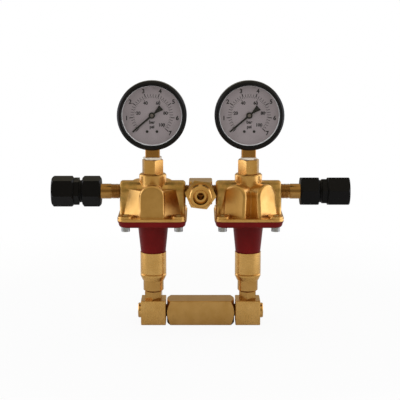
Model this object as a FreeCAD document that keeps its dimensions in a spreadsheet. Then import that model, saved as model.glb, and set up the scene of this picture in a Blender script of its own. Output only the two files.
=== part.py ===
import FreeCAD, Part
import math
import os
import re
import Sketcher
from FreeCAD import Placement, Rotation, Vector

# Automatic changeover regulator, in millimetres.
# Z is up, X runs from the left inlet to the right inlet, and the gauges face -Y.
# The origin lies under the middle of the cross bar, on the plane it stands on.

doc = FreeCAD.newDocument("changeover_regulator")

sizes = {
    # layout of the two columns
    "column_pitch": 95,
    "port_rise": 24.7,
    "thread_clearance": 0.05,
    "running_clearance": 0.05,
    "seat_gap": 0.3,
    "cut_overshoot": 1,
    "pipe_thread_radius": 6.58,
    "pipe_thread_length": 9,
    "block_thread_length": 5.4,
    "tee_thread_length": 4.8,
    # elbow block, plug and cross bar
    "block_size": 25,
    "block_bore_radius": 3.5,
    "block_edge": 0.6,
    "plug_head_radius": 7.5,
    "plug_head_height": 3.1,
    "plug_key_flats": 6,
    "bar_size": 25,
    "bar_gap": 1.2,
    "bar_end_radius": 12.3,
    "bar_end_length": 3.8,
    "link_bore_radius": 2.5,
    # shuttle piston in the cross bar
    "shuttle_length": 34,
    "shuttle_waist_radius": 4.5,
    "shuttle_land_length": 7,
    "shuttle_groove_depth": 1.2,
    "shuttle_groove_width": 1.8,
    # lower adaptor
    "adaptor_neck_height": 8,
    "adaptor_neck_flats": 16.5,
    "adaptor_neck_turn": 25,
    "adaptor_barrel_height": 11.7,
    "adaptor_barrel_radius": 10.2,
    "adaptor_bore_radius": 3,
    "adaptor_edge": 1.5,
    # spring cap
    "cap_height": 26.3,
    "cap_radius": 13,
    "spring_bore_radius": 8.4,
    "cap_foot_radius": 10.9,
    "cap_foot_height": 4.5,
    "cap_floor": 8.3,
    "cap_thread_length": 7,
    # bonnet
    "flange_width": 68,
    "flange_corner": 9,
    "bonnet_flange_height": 4.7,
    "bonnet_cone_height": 34.6,
    "bonnet_foot_radius": 12.2,
    "bonnet_head_radius": 15.7,
    "bonnet_bore_radius": 9.6,
    "bonnet_chamber_radius": 16,
    "bonnet_chamber_depth": 3.6,
    "bonnet_fillet": 1.5,
    "flange_edge": 3.3,
    # diaphragm, plate and range spring
    "diaphragm_radius": 23,
    "diaphragm_thickness": 1,
    "plate_radius": 14,
    "plate_thickness": 1.2,
    "plate_boss_radius": 5,
    "plate_boss_height": 2,
    "range_spring_radius": 7.2,
    "range_wire_radius": 1.1,
    "range_spring_turns": 6,
    "spring_button_height": 3,
    "spring_button_bore": 2.5,
    # brass body
    "body_flange_height": 2.7,
    "port_face_width": 65,
    "port_radius": 11,
    "collar_radius": 13.5,
    "collar_rise": 17.8,
    "core_rise": 28.6,
    "core_foot": 28.3,
    "core_head": 23.8,
    "core_foot_front": 22.5,
    "core_head_front": 21,
    "valley_offset": 1.8,
    "valley_floor": 19,
    "lobe_reach": 28.6,
    "lobe_width": 25,
    "lobe_height": 32.6,
    "lobe_draft": 4.7,
    "lobe_edge": 2.8,
    "rear_lobe_turn": 180,
    "outlet_lobe_turn": 33,
    "inlet_lobe_turn": 43,
    "chamber_radius": 16.5,
    "chamber_depth": 5,
    "seat_bore_radius": 7.5,
    "valve_chamber_radius": 5.6,
    "passage_radius": 2.5,
    "passage_offset": 13,
    "screw_pitch": 52,
    "screw_boss_radius": 7.3,
    "screw_boss_height": 2.2,
    "port_edge": 3,
    "collar_edge": 1,
    # flange screws
    "screw_radius": 2.5,
    "screw_head_radius": 4.25,
    "screw_head_height": 5.8,
    "screw_tip": 0.8,
    "screw_edge": 0.5,
    "screw_key_flats": 4,
    "screw_key_depth": 2.5,
    # valve seat, poppet and its spring
    "seat_insert_height": 8,
    "seat_bore": 3,
    "seat_lip_radius": 4.2,
    "seat_lip_height": 0.8,
    "valve_lift": 1.1,
    "poppet_radius": 4.6,
    "poppet_height": 2.6,
    "stem_radius": 1.6,
    "poppet_pin_height": 2,
    "valve_spring_radius": 3.2,
    "valve_wire_radius": 0.4,
    "valve_spring_turns": 5,
    # inlet fittings
    "nipple_radius": 7.5,
    "nipple_bore_radius": 4,
    "nipple_reach": 23,
    "nipple_groove_start": 4.8,
    "nipple_groove_width": 1.6,
    "nipple_groove_depth": 0.6,
    "nut_flats": 27,
    "nut_corner_turn": 20,
    "inner_nut_start": 18.8,
    "inner_nut_length": 18.6,
    "outer_nut_length": 22,
    "nut_wall": 5,
    "nut_edge_radius": 14.2,
    "nut_edge_length": 1.9,
    "union_thread_radius": 11,
    "union_neck_length": 3.1,
    "union_hex_length": 5.3,
    "union_hex_flats": 24,
    "union_stub_length": 13,
    "tube_socket_radius": 7.55,
    "tube_socket_depth": 9,
    "union_bore_radius": 5,
    # outlet tee and stud
    "tee_size": 23,
    "fitting_edge": 0.8,
    "tee_bore_radius": 3.5,
    "outlet_hex_flats": 27,
    "outlet_hex_length": 10.5,
    "outlet_hex_turn": 10,
    "outlet_stud_radius": 10.8,
    "outlet_stud_length": 12,
    "outlet_mouth_radius": 7.6,
    "outlet_cone_radius": 5.75,
    "outlet_cone_depth": 5,
    "outlet_bore_radius": 3.1,
    "outlet_edge": 0.8,
    # gauge adaptor and washer
    "gauge_adaptor_height": 14.5,
    "gauge_adaptor_flats": 19,
    "gauge_adaptor_turn": 13,
    "gauge_adaptor_bore": 2.5,
    "washer_height": 2.4,
    "washer_radius": 7.6,
    # gauge
    "bezel_radius": 34,
    "bezel_wall": 1.6,
    "bezel_rim": 4.7,
    "bezel_front": 17,
    "bezel_length": 10,
    "bezel_lip": 2.2,
    "bezel_edge": 1.8,
    "window_edge": 1.2,
    "case_back": 13,
    "case_wall": 1,
    "case_corner": 2,
    "lens_thickness": 1.6,
    "dial_gap": 0.6,
    "dial_thickness": 0.6,
    "dial_front": 11,
    "socket_size": 14,
    "stem_length": 8.3,
    "socket_bore_radius": 1.6,
    "arbor_radius": 0.7,
    "arbor_boss_radius": 2,
    "pointer_hub_radius": 3.1,
    "pointer_hub_thickness": 1.1,
    "pointer_gap": 0.8,
    "pointer_blade": 0.5,
    "pointer_room": 5.9,
    "pointer_tail": 12,
    "pointer_tail_width": 6.2,
    "pointer_root_width": 2,
    "pointer_tip_width": 1.4,
    "pointer_angle": 220.5,
    # gauge movement
    "frame_plate": 1,
    "frame_gap": 5,
    "frame_width": 16,
    "frame_head": 6,
    "frame_front": 8.4,
    "pillar_radius": 1.5,
    "pillar_inset": 2.25,
    "gear_module": 0.3,
    "pinion_teeth": 12,
    "tooth_addendum": 0.9,
    "tooth_dedendum": 1.2,
    "tooth_tip_share": 0.24,
    "tooth_root_share": 0.62,
    "sector_full_teeth": 96,
    "sector_first_tooth": -2,
    "sector_last_tooth": 11,
    "gear_thickness": 2,
    "sector_thickness": 1.2,
    "sector_arm_width": 3,
    "tube_room": 7.4,
    "tube_section_depth": 7,
    "tube_section_width": 2.4,
    "tube_sweep": 245,
}

sheet = doc.addObject("Spreadsheet::Sheet", "sizes")
for row, (alias, number) in enumerate(sizes.items(), 1):
    sheet.set("A%d" % row, alias)
    sheet.set("B%d" % row, str(number))
    sheet.setAlias("B%d" % row, alias)
doc.recompute()

tolerance = 1e-6

# heights along a column, from the plane it stands on
blockTop = "block_size"
neckTop = blockTop + " + adaptor_neck_height"
barrelTop = neckTop + " + adaptor_barrel_height"
capTop = barrelTop + " + cap_height"
coneTop = capTop + " + bonnet_cone_height"
flangeFace = coneTop + " + bonnet_flange_height"
bodyLedge = flangeFace + " + body_flange_height"
portAxis = flangeFace + " + port_rise"
collarTop = portAxis + " + collar_rise"
adaptorTop = collarTop + " + gauge_adaptor_height"
washerTop = adaptorTop + " + washer_height"
gaugeRise = "(bezel_radius + stem_length)"
gaugeAxis = washerTop + " + " + gaugeRise
threadRadius = "pipe_thread_radius + thread_clearance"
insertTop = flangeFace + " + chamber_depth + seat_insert_height"

# radii inside the gauge, all from the bezel's
caseRadius = "(bezel_radius - bezel_wall)"
windowRadius = "(bezel_radius - bezel_rim)"
dialRadius = "(bezel_radius - bezel_wall - case_wall - dial_gap)"
tubeRing = "(bezel_radius - bezel_wall - case_wall - tube_room)"
socketTop = "(bezel_radius - bezel_wall - case_wall - tube_room - tube_section_depth / 2)"


def cell(alias):
    return float(sheet.get(alias))


def valueOf(text):
    """The value of a sum of named sizes, read from the sheet."""
    total = 0.0
    for sign, word in re.findall(r"([+-]?) ?([a-z_]+)", text):
        total += -cell(word) if sign == "-" else cell(word)
    return total


def bound(text):
    """An expression in which each named size points at its cell of the sheet."""
    return re.sub(r"[a-z_]+", lambda word: "sizes." + word.group() if word.group() in sizes else word.group(),
                  str(text))


def newBody(label):
    body = doc.addObject("PartDesign::Body", label)
    body.Label = label
    return body


def sketchOn(body, role, shift=None):
    sketch = body.newObject("Sketcher::SketchObject", "outline")
    plane = [item for item in body.Origin.OriginFeatures if item.Role == role][0]
    sketch.AttachmentSupport = (plane, [""])
    sketch.MapMode = "FlatFace"
    if shift:
        sketch.setExpression("AttachmentOffset.Base.z", bound(shift))
    return sketch


def closedOutline(sketch, points):
    """Straight lines through points whose two coordinates are tied to the sheet."""
    count = len(points)
    turn = 2 * math.pi / count
    spread = cell("block_size")
    start = [Vector(spread * math.cos(turn * i), spread * math.sin(turn * i), 0) for i in range(count)]
    sketch.addGeometry([Part.LineSegment(start[i], start[(i + 1) % count]) for i in range(count)])
    sketch.addConstraint([Sketcher.Constraint("Coincident", i, 2, (i + 1) % count, 1) for i in range(count)])
    for i, (across, along) in enumerate(points):
        for kind, text, axis in (("DistanceX", across, -2), ("DistanceY", along, -1)):
            if text == "0":
                sketch.addConstraint(Sketcher.Constraint("PointOnObject", i, 1, axis))
            else:
                index = sketch.addConstraint(Sketcher.Constraint(kind, i, 1, 1.0))
                sketch.setExpression("Constraints[%d]" % index, bound(text))


def turned(body, points, role="XZ_Plane", axis="V_Axis", cut=False):
    """A revolved outline; on XZ about Z, on XY about Y (V_Axis) or X (H_Axis)."""
    sketch = sketchOn(body, role)
    closedOutline(sketch, points)
    feature = body.newObject("PartDesign::Groove" if cut else "PartDesign::Revolution", "turned")
    feature.Profile = sketch
    feature.ReferenceAxis = (sketch, [axis])
    feature.Angle = 360
    return feature


def padded(body, points, height, role="XY_Plane", shift=None, cut=False):
    """A prism along the plane's normal, added or cut."""
    sketch = sketchOn(body, role, shift)
    closedOutline(sketch, points)
    feature = body.newObject("PartDesign::Pocket" if cut else "PartDesign::Pad", "prism")
    feature.Profile = sketch
    feature.Reversed = cut
    feature.setExpression("Length", bound(height))
    return feature


def primitive(body, kind, values, base=("0", "0", "0"), turn=None):
    """A box, cylinder or prism feature whose sizes and corner come from the sheet."""
    feature = body.newObject("PartDesign::" + kind, kind.lower())
    for name, text in values.items():
        if name == "Polygon":
            feature.Polygon = text
        else:
            feature.setExpression(name, bound(text))
    feature.Placement = Placement(Vector(), turn or Rotation())
    for name, text in zip("xyz", base):
        if text != "0":
            feature.setExpression("Placement.Base." + name, bound(text))
    return feature


alongX = Rotation(Vector(0, 1, 0), 90)
alongY = Rotation(Vector(1, 0, 0), -90)
towardsFront = Rotation(Vector(1, 0, 0), 90)


def spin(angle):
    return Rotation(Vector(0, 0, 1), angle)


def hexagon(flats, length):
    return {"Polygon": 6, "Circumradius": "(" + flats + ") / sqrt(3)", "Height": length}


def drum(radius, length):
    return {"Radius": radius, "Height": length}


def block(width, depth, height):
    return {"Length": width, "Width": depth, "Height": height}


def centredBox(body, kind, width, depth, height, floor="0"):
    return primitive(body, kind, block(width, depth, height),
                     ("-(" + width + ") / 2", "-(" + depth + ") / 2", floor))


def roundEdges(body, chosen, radius, chamfer=False):
    """Fillet or chamfer the edges of the body as built so far that the test picks."""
    doc.recompute()
    base = body.Tip
    names = ["Edge%d" % (i + 1) for i, edge in enumerate(base.Shape.Edges) if chosen(edge)]
    feature = body.newObject("PartDesign::Chamfer" if chamfer else "PartDesign::Fillet", "edges")
    feature.Base = (base, names)
    feature.setExpression("Size" if chamfer else "Radius", bound(radius))
    return feature


def runsAlong(edge, direction):
    span = edge.Vertexes[-1].Point - edge.Vertexes[0].Point
    return span.Length > tolerance and span.cross(direction).Length < tolerance


def isUpright(edge):
    return runsAlong(edge, Vector(0, 0, 1))


# The two regulators are the same parts; the left one is turned half round.
sides = {"left": -1, "right": 1}
parts = []


def placeOnColumn(item, side, turnedRound=True):
    if side == "left" and turnedRound:
        item.Placement = Placement(Vector(), spin(180))
    item.setExpression("Placement.Base.x", bound("%d * column_pitch / 2" % sides[side]))


def keep(item, side=None, turnedRound=True):
    if side:
        placeOnColumn(item, side, turnedRound)
    parts.append(item)


def squareFlange(body, floor, height):
    half = "flange_width / 2"
    corners = [("-" + half, "-" + half), (half, "-" + half), (half, half), ("-" + half, half)]
    padded(body, corners, height, shift=floor)
    roundEdges(body, isUpright, "flange_corner")


screwPositions = [(-1, -1), (-1, 1), (1, -1), (1, 1)]


def drillScrewHoles(body, radius, floor, height):
    for i, j in screwPositions:
        primitive(body, "SubtractiveCylinder", drum(radius, height),
                  ("%d * screw_pitch / 2" % i, "%d * screw_pitch / 2" % j, floor))


# Elbow block under each column: drilled down from the top and across, the outer end plugged.
def makeElbowBlock(side):
    body = newBody(side + "_elbow_block")
    centredBox(body, "AdditiveBox", "block_size", "block_size", "block_size")
    roundEdges(body, lambda edge: True, "block_edge", chamfer=True)
    primitive(body, "SubtractiveCylinder", drum("block_bore_radius", "block_size"),
              ("-block_size / 2", "0", "block_size / 2"), alongX)
    primitive(body, "SubtractiveCylinder", drum("adaptor_bore_radius", "block_size / 2"),
              ("0", "0", "block_size / 2"))
    for base, turn in ((("block_size / 2 - block_thread_length", "0", "block_size / 2"), alongX),
                       (("-block_size / 2", "0", "block_size / 2"), alongX),
                       (("0", "0", "block_size - block_thread_length"), Rotation())):
        primitive(body, "SubtractiveCylinder", drum(threadRadius, "block_thread_length"), base, turn)
    keep(body, side)


def makeElbowPlugs():
    plugs = []
    for side in sides:
        body = newBody(side + "_plug")
        face = "block_size / 2"
        reach = face + " - block_thread_length + seat_gap"
        turned(body, [(reach, "0"), (reach, "pipe_thread_radius"), (face, "pipe_thread_radius"),
                      (face, "plug_head_radius"), (face + " + plug_head_height", "plug_head_radius"),
                      (face + " + plug_head_height", "0")], "XY_Plane", "H_Axis")
        roundEdges(body, lambda edge: abs(edge.BoundBox.XMin - cell("block_size") / 2
                                          - cell("plug_head_height")) < tolerance, "block_edge", chamfer=True)
        primitive(body, "SubtractivePrism", hexagon("plug_key_flats", "plug_head_height * 2"),
                  (face + " - plug_head_height", "0", "0"), alongX)
        placeOnColumn(body, side)
        body.setExpression("Placement.Base.z", bound("block_size / 2"))
        plugs.append(body)
    group(plugs, "elbow_plugs")


def group(items, label):
    joined = doc.addObject("Part::Compound", label)
    joined.Label = label
    joined.Links = items
    keep(joined)


# Cross bar between the blocks, bored through for the shuttle, its ends faced in a lathe.
barLength = "column_pitch - block_size - 2 * bar_gap"


def makeCrossBar():
    body = newBody("cross_bar")
    end = "(" + barLength + ") / 2"
    primitive(body, "AdditiveBox", block(barLength, "bar_size", "bar_size"),
              ("-" + end, "-bar_size / 2", "-bar_size / 2"))
    roundEdges(body, lambda edge: runsAlong(edge, Vector(1, 0, 0)), "block_edge", chamfer=True)
    for sign in ("", "-"):
        turned(body, [(sign + end, "bar_end_radius"), (sign + end, "bar_size"),
                      (sign + "(" + end + " - bar_end_length * 2)", "bar_size"),
                      (sign + "(" + end + " - bar_end_length)", "bar_size / sqrt(2)")],
               "XY_Plane", "H_Axis", cut=True)
    primitive(body, "SubtractiveCylinder", drum(threadRadius, barLength), ("-" + end, "0", "0"), alongX)
    body.setExpression("Placement.Base.z", bound("block_size / 2"))
    keep(body)


def makeShuttle():
    body = newBody("shuttle_piston")
    half = "shuttle_length / 2"
    land = "pipe_thread_radius + thread_clearance - running_clearance"
    waistEnd = half + " - shuttle_land_length"
    turned(body, [("-" + half, "0"), ("-" + half, land), ("-(" + waistEnd + ")", land),
                  ("-(" + waistEnd + ")", "shuttle_waist_radius"), (waistEnd, "shuttle_waist_radius"),
                  (waistEnd, land), (half, land), (half, "0")], "XY_Plane", "H_Axis")
    for sign in ("", "-"):
        inner = half + " - shuttle_land_length / 2 - shuttle_groove_width / 2"
        outer = inner + " + shuttle_groove_width"
        floor = land + " - shuttle_groove_depth"
        clear = land + " + cut_overshoot"
        turned(body, [(sign + "(" + inner + ")", floor), (sign + "(" + outer + ")", floor),
                      (sign + "(" + outer + ")", clear), (sign + "(" + inner + ")", clear)],
               "XY_Plane", "H_Axis", cut=True)
    body.setExpression("Placement.Base.z", bound("block_size / 2"))
    keep(body)


# Short threaded links: blocks to cross bar below, regulators to the outlet tee above.
def makeLinkNipples():
    links = []
    for side, sign in sides.items():
        for start, inner, gap, outer, height in (
                ("(" + barLength + ") / 2", "pipe_thread_length", "bar_gap", "block_thread_length",
                 "block_size / 2"),
                ("tee_size / 2", "tee_thread_length", "(column_pitch - port_face_width - tee_size) / 2",
                 "pipe_thread_length", portAxis)):
            body = newBody(side + "_link")
            first = start + " - " + inner + " + seat_gap"
            last = start + " + " + gap + " + " + outer + " - seat_gap"
            turned(body, [(first, "link_bore_radius"), (first, "pipe_thread_radius"),
                          (last, "pipe_thread_radius"), (last, "link_bore_radius")], "XY_Plane", "H_Axis")
            if sign < 0:
                body.Placement = Placement(Vector(), spin(180))
            body.setExpression("Placement.Base.z", bound(height))
            links.append(body)
    group(links, "link_nipples")


# Lower adaptor: hexagon neck screwed into the block, round barrel under the spring cap.
def makeLowerAdaptor(side):
    body = newBody(side + "_lower_adaptor")
    foot = blockTop + " - block_thread_length + seat_gap"
    tip = barrelTop + " + cap_floor"
    turned(body, [("adaptor_bore_radius", foot), ("pipe_thread_radius", foot),
                  ("pipe_thread_radius", blockTop), ("adaptor_neck_flats / 2", blockTop),
                  ("adaptor_neck_flats / 2", neckTop), ("adaptor_barrel_radius - adaptor_edge", neckTop),
                  ("adaptor_barrel_radius", neckTop + " + adaptor_edge"),
                  ("adaptor_barrel_radius", barrelTop), ("pipe_thread_radius", barrelTop),
                  ("pipe_thread_radius", tip), ("adaptor_bore_radius", tip)])
    primitive(body, "AdditivePrism", hexagon("adaptor_neck_flats", "adaptor_neck_height"),
              ("0", "0", blockTop), spin(cell("adaptor_neck_turn")))
    primitive(body, "SubtractiveCylinder", drum("adaptor_bore_radius", tip), ("0", "0", foot))
    keep(body, side)


def makeSpringCap(side):
    body = newBody(side + "_spring_cap")
    hole = threadRadius
    floor = barrelTop + " + cap_floor"
    seat = capTop + " + cap_thread_length"
    bore, thread = "spring_bore_radius", "bonnet_bore_radius - thread_clearance"
    turned(body, [(hole, barrelTop), ("cap_foot_radius", barrelTop),
                  ("cap_radius", barrelTop + " + cap_foot_height"), ("cap_radius", capTop), (thread, capTop),
                  (thread, seat), (bore, seat), (bore, floor), (hole, floor)])
    keep(body, side)


def makeSpringButton(side):
    body = newBody(side + "_spring_button")
    floor = barrelTop + " + cap_floor"
    rim = "spring_bore_radius - running_clearance"
    turned(body, [("spring_button_bore", floor), (rim, floor), (rim, floor + " + spring_button_height"),
                  ("spring_button_bore", floor + " + spring_button_height")])
    keep(body, side)


# Red bonnet: square flange and tapered tower, bored for the range spring.
def makeBonnet(side):
    body = newBody(side + "_bonnet")
    squareFlange(body, coneTop, "bonnet_flange_height")
    roundEdges(body, lambda edge: abs(edge.BoundBox.ZMax - valueOf(coneTop)) < tolerance, "flange_edge")
    turned(body, [("0", capTop), ("bonnet_foot_radius", capTop), ("bonnet_head_radius", coneTop),
                  ("bonnet_head_radius", coneTop + " + bonnet_flange_height / 2"),
                  ("0", coneTop + " + bonnet_flange_height / 2")])
    roundEdges(body, lambda edge: abs(edge.BoundBox.ZMin - edge.BoundBox.ZMax) < tolerance
               and abs(edge.BoundBox.XMax - cell("bonnet_head_radius")) < tolerance, "bonnet_fillet")
    primitive(body, "SubtractiveCylinder",
              drum("bonnet_bore_radius", "bonnet_cone_height + bonnet_flange_height"), ("0", "0", capTop))
    primitive(body, "SubtractiveCylinder", drum("bonnet_chamber_radius", "bonnet_chamber_depth"),
              ("0", "0", flangeFace + " - bonnet_chamber_depth"))
    primitive(body, "SubtractiveCylinder", drum("diaphragm_radius + seat_gap", "diaphragm_thickness"),
              ("0", "0", flangeFace + " - diaphragm_thickness"))
    drillScrewHoles(body, "screw_radius + thread_clearance", coneTop, "bonnet_flange_height")
    keep(body, side)


def makeDiaphragm(side):
    body = newBody(side + "_diaphragm")
    hole = "stem_radius + running_clearance"
    floor = flangeFace + " - diaphragm_thickness"
    turned(body, [(hole, floor), ("diaphragm_radius", floor), ("diaphragm_radius", flangeFace),
                  (hole, flangeFace)])
    keep(body, side)


def makeDiaphragmPlate(side):
    body = newBody(side + "_diaphragm_plate")
    top = flangeFace + " - diaphragm_thickness"
    under = top + " - plate_thickness"
    foot = under + " - plate_boss_height"
    turned(body, [("0", foot), ("plate_boss_radius", foot), ("plate_boss_radius", under),
                  ("plate_radius", under), ("plate_radius", top), ("0", top)])
    keep(body, side)


def coil(label, ringRadius, wireRadius, turns, floor, ceiling):
    """A closed helical wire between two heights."""
    low = floor + wireRadius + cell("running_clearance")
    high = ceiling - wireRadius - cell("running_clearance")
    path = Part.makeHelix((high - low) / turns, high - low, ringRadius)
    path.translate(Vector(0, 0, low))
    start = Vector(ringRadius, 0, low)
    rim = [start + Vector(wireRadius * math.cos(k * math.pi / 3), 0, wireRadius * math.sin(k * math.pi / 3))
           for k in range(6)]
    section = Part.makePolygon(rim + [rim[0]])
    item = doc.addObject("Part::Feature", label)
    item.Label = label
    item.Shape = Part.Wire(path.Edges).makePipeShell([section], True, True)
    return item


def makeRangeSpring(side):
    floor = valueOf(barrelTop + " + cap_floor + spring_button_height")
    ceiling = valueOf(flangeFace + " - diaphragm_thickness - plate_thickness")
    item = coil(side + "_range_spring", cell("range_spring_radius"), cell("range_wire_radius"),
                cell("range_spring_turns"), floor, ceiling)
    keep(item, side)


# Brass body: square flange, drafted core with arched lobes, cross barrel and top collar.
def archedLobe(body, turn):
    """An arch drawn on a face that leans back from the flange, pushed inwards as far as the axis."""
    sketch = sketchOn(body, "XY_Plane")
    lean = spin(valueOf(turn)) * Rotation(Vector(1, 0, 0), 90 - cell("lobe_draft"))
    sketch.AttachmentOffset = Placement(Vector(), lean)
    base = ("lobe_reach * sin(" + turn + ")", "-lobe_reach * cos(" + turn + ")", bodyLedge + " - seat_gap")
    for name, text in zip("xyz", base):
        sketch.setExpression("AttachmentOffset.Base." + name, bound(text))
    half = cell("lobe_width") / 2
    rise = cell("lobe_height") - half
    corners = [Vector(-half, 0, 0), Vector(half, 0, 0), Vector(half, rise, 0), Vector(-half, rise, 0)]
    sketch.addGeometry([Part.LineSegment(corners[0], corners[1]), Part.LineSegment(corners[1], corners[2]),
                        Part.ArcOfCircle(Part.Circle(Vector(0, rise, 0), Vector(0, 0, 1), half), 0, math.pi),
                        Part.LineSegment(corners[3], corners[0])])
    sketch.addConstraint([Sketcher.Constraint("Coincident", 0, 2, 1, 1),
                          Sketcher.Constraint("Coincident", 3, 2, 0, 1),
                          Sketcher.Constraint("Tangent", 1, 2, 2, 1),
                          Sketcher.Constraint("Tangent", 2, 2, 3, 1),
                          Sketcher.Constraint("PointOnObject", 0, 1, -1),
                          Sketcher.Constraint("PointOnObject", 0, 2, -1),
                          Sketcher.Constraint("Vertical", 1), Sketcher.Constraint("Vertical", 3)])
    for kind, line, point, value, text in (("DistanceX", 0, 2, half, "lobe_width / 2"),
                                           ("DistanceX", 0, 1, -half, "-lobe_width / 2"),
                                           ("DistanceY", 1, 2, rise, "lobe_height - lobe_width / 2")):
        index = sketch.addConstraint(Sketcher.Constraint(kind, line, point, value))
        sketch.setExpression("Constraints[%d]" % index, bound(text))
    feature = body.newObject("PartDesign::Pad", "lobe")
    feature.Profile = sketch
    feature.Reversed = True
    feature.setExpression("Length", bound("lobe_reach"))
    doc.recompute()
    outward = lean * Vector(0, 0, 1)
    reach = sketch.AttachmentOffset.Base.dot(outward)
    roundEdges(body, lambda edge: edge.BoundBox.ZMax > valueOf(bodyLedge) + tolerance
               and all(abs(vertex.Point.dot(outward) - reach) < tolerance for vertex in edge.Vertexes),
               "lobe_edge")


def coreOutline(reach, depth):
    """An octagon with flats along X, along Y and between them, notched in front behind the two lobes."""
    near, front = reach + " * tan(22.5)", "-" + depth
    return [(reach, "-" + near), (reach, near), (near, reach), ("-" + near, reach), ("-" + reach, near),
            ("-" + reach, "-" + near), ("-" + near, front), ("valley_offset", "-valley_floor"), (near, front)]


def makeRegulatorBody(side):
    body = newBody(side + "_regulator_body")
    squareFlange(body, flangeFace, "body_flange_height")
    for i, j in screwPositions:
        primitive(body, "AdditiveCylinder",
                  drum("screw_boss_radius", "body_flange_height + screw_boss_height"),
                  ("%d * screw_pitch / 2" % i, "%d * screw_pitch / 2" % j, flangeFace))
    for turn in ("rear_lobe_turn", "-outlet_lobe_turn", "inlet_lobe_turn"):
        archedLobe(body, turn)
    foot = sketchOn(body, "XY_Plane", bodyLedge + " - body_flange_height / 2")
    closedOutline(foot, coreOutline("core_foot", "core_foot_front"))
    head = sketchOn(body, "XY_Plane", flangeFace + " + core_rise")
    closedOutline(head, coreOutline("core_head", "core_head_front"))
    loft = body.newObject("PartDesign::AdditiveLoft", "core")
    loft.Profile = foot
    loft.Sections = [(head, [""])]
    loft.Ruled = True
    primitive(body, "AdditiveBox", block("port_face_width", "port_radius * 2", "port_rise"),
              ("-port_face_width / 2", "-port_radius", flangeFace))
    primitive(body, "AdditiveCylinder", drum("port_radius", "port_face_width"),
              ("-port_face_width / 2", "0", portAxis), alongX)
    portEnd = cell("port_face_width") / 2
    roundEdges(body, lambda edge: edge.BoundBox.ZMax > valueOf(bodyLedge) + tolerance
               and all(abs(abs(vertex.Point.x) - portEnd) < tolerance for vertex in edge.Vertexes),
               "port_edge")
    primitive(body, "AdditiveCylinder", drum("collar_radius", "port_rise + collar_rise - body_flange_height"),
              ("0", "0", bodyLedge))
    roundEdges(body, lambda edge: abs(edge.BoundBox.ZMin - valueOf(collarTop)) < tolerance,
               "collar_edge", chamfer=True)
    # working passages
    primitive(body, "SubtractiveCylinder", drum("chamber_radius", "chamber_depth"), ("0", "0", flangeFace))
    primitive(body, "SubtractiveCylinder", drum("seat_bore_radius", "chamber_depth + seat_insert_height"),
              ("0", "0", flangeFace))
    primitive(body, "SubtractiveCylinder", drum("valve_chamber_radius", "port_rise + collar_rise"),
              ("0", "0", flangeFace))
    primitive(body, "SubtractiveCylinder", drum(threadRadius, "pipe_thread_length"),
              ("0", "0", collarTop + " - pipe_thread_length"))
    primitive(body, "SubtractiveCylinder", drum(threadRadius, "pipe_thread_length"),
              ("port_face_width / 2 - pipe_thread_length", "0", portAxis), alongX)
    primitive(body, "SubtractiveCylinder", drum("nipple_bore_radius", "port_face_width / 2"),
              ("0", "0", portAxis), alongX)
    primitive(body, "SubtractiveCylinder",
              drum(threadRadius, "port_face_width / 2 - passage_offset + passage_radius"),
              ("-port_face_width / 2", "0", portAxis), alongX)
    primitive(body, "SubtractiveCylinder", drum("passage_radius", "port_rise"),
              ("-passage_offset", "0", flangeFace))
    drillScrewHoles(body, "screw_radius + thread_clearance", flangeFace,
                    "body_flange_height + screw_boss_height")
    keep(body, side)


def makeFlangeScrews():
    screws = []
    for side, sign in sides.items():
        for i, j in screwPositions:
            body = newBody(side + "_screw")
            under = "(" + coneTop + ")"
            tip = "(" + bodyLedge + " + screw_boss_height + screw_tip)"
            head = under + " - screw_head_height"
            turned(body, [("0", head), ("screw_head_radius", head), ("screw_head_radius", under),
                          ("screw_radius", under), ("screw_radius", tip + " - screw_edge"),
                          ("screw_radius - screw_edge", tip), ("0", tip)])
            primitive(body, "SubtractivePrism", hexagon("screw_key_flats", "screw_key_depth"),
                      ("0", "0", head))
            body.setExpression("Placement.Base.x",
                               bound("%d * column_pitch / 2 + %d * screw_pitch / 2" % (sign, i)))
            body.setExpression("Placement.Base.y", bound("%d * screw_pitch / 2" % j))
            screws.append(body)
    group(screws, "flange_screws")


# Valve: screwed-in seat, poppet standing open above it, light spring over the poppet.
lipTop = insertTop + " + seat_lip_height"


def makeValveSeat(side):
    body = newBody(side + "_valve_seat")
    floor = flangeFace + " + chamber_depth"
    rim = "seat_bore_radius - thread_clearance"
    turned(body, [("seat_bore", floor), (rim, floor), (rim, insertTop), ("seat_lip_radius", insertTop),
                  ("seat_lip_radius - seat_lip_height / 2", lipTop), ("seat_bore", lipTop)])
    keep(body, side)


def makeValvePoppet(side):
    body = newBody(side + "_valve_poppet")
    foot = flangeFace + " - diaphragm_thickness"
    face = lipTop + " + valve_lift"
    top = face + " + poppet_height"
    pin = "stem_radius"
    turned(body, [("0", foot), (pin, foot), (pin, face), ("poppet_radius", face), ("poppet_radius", top),
                  (pin, top), (pin, top + " + poppet_pin_height"), ("0", top + " + poppet_pin_height")])
    keep(body, side)


def makeValveSpring(side):
    floor = valueOf(lipTop + " + valve_lift + poppet_height")
    ceiling = valueOf(collarTop + " - pipe_thread_length + seat_gap")
    item = coil(side + "_valve_spring", cell("valve_spring_radius"), cell("valve_wire_radius"),
                cell("valve_spring_turns"), floor, ceiling)
    keep(item, side)


# Inlet: nipple in the body, gripped in a double-ended compression union.
portFace = "port_face_width / 2"
innerNutStart = portFace + " + inner_nut_start"
unionNeck = innerNutStart + " + inner_nut_length"
unionHex = unionNeck + " + union_neck_length"
unionHexEnd = unionHex + " + union_hex_length"


def raiseToPort(body, side):
    body.setExpression("Placement.Base.z", bound(portAxis))
    keep(body, side)


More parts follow.
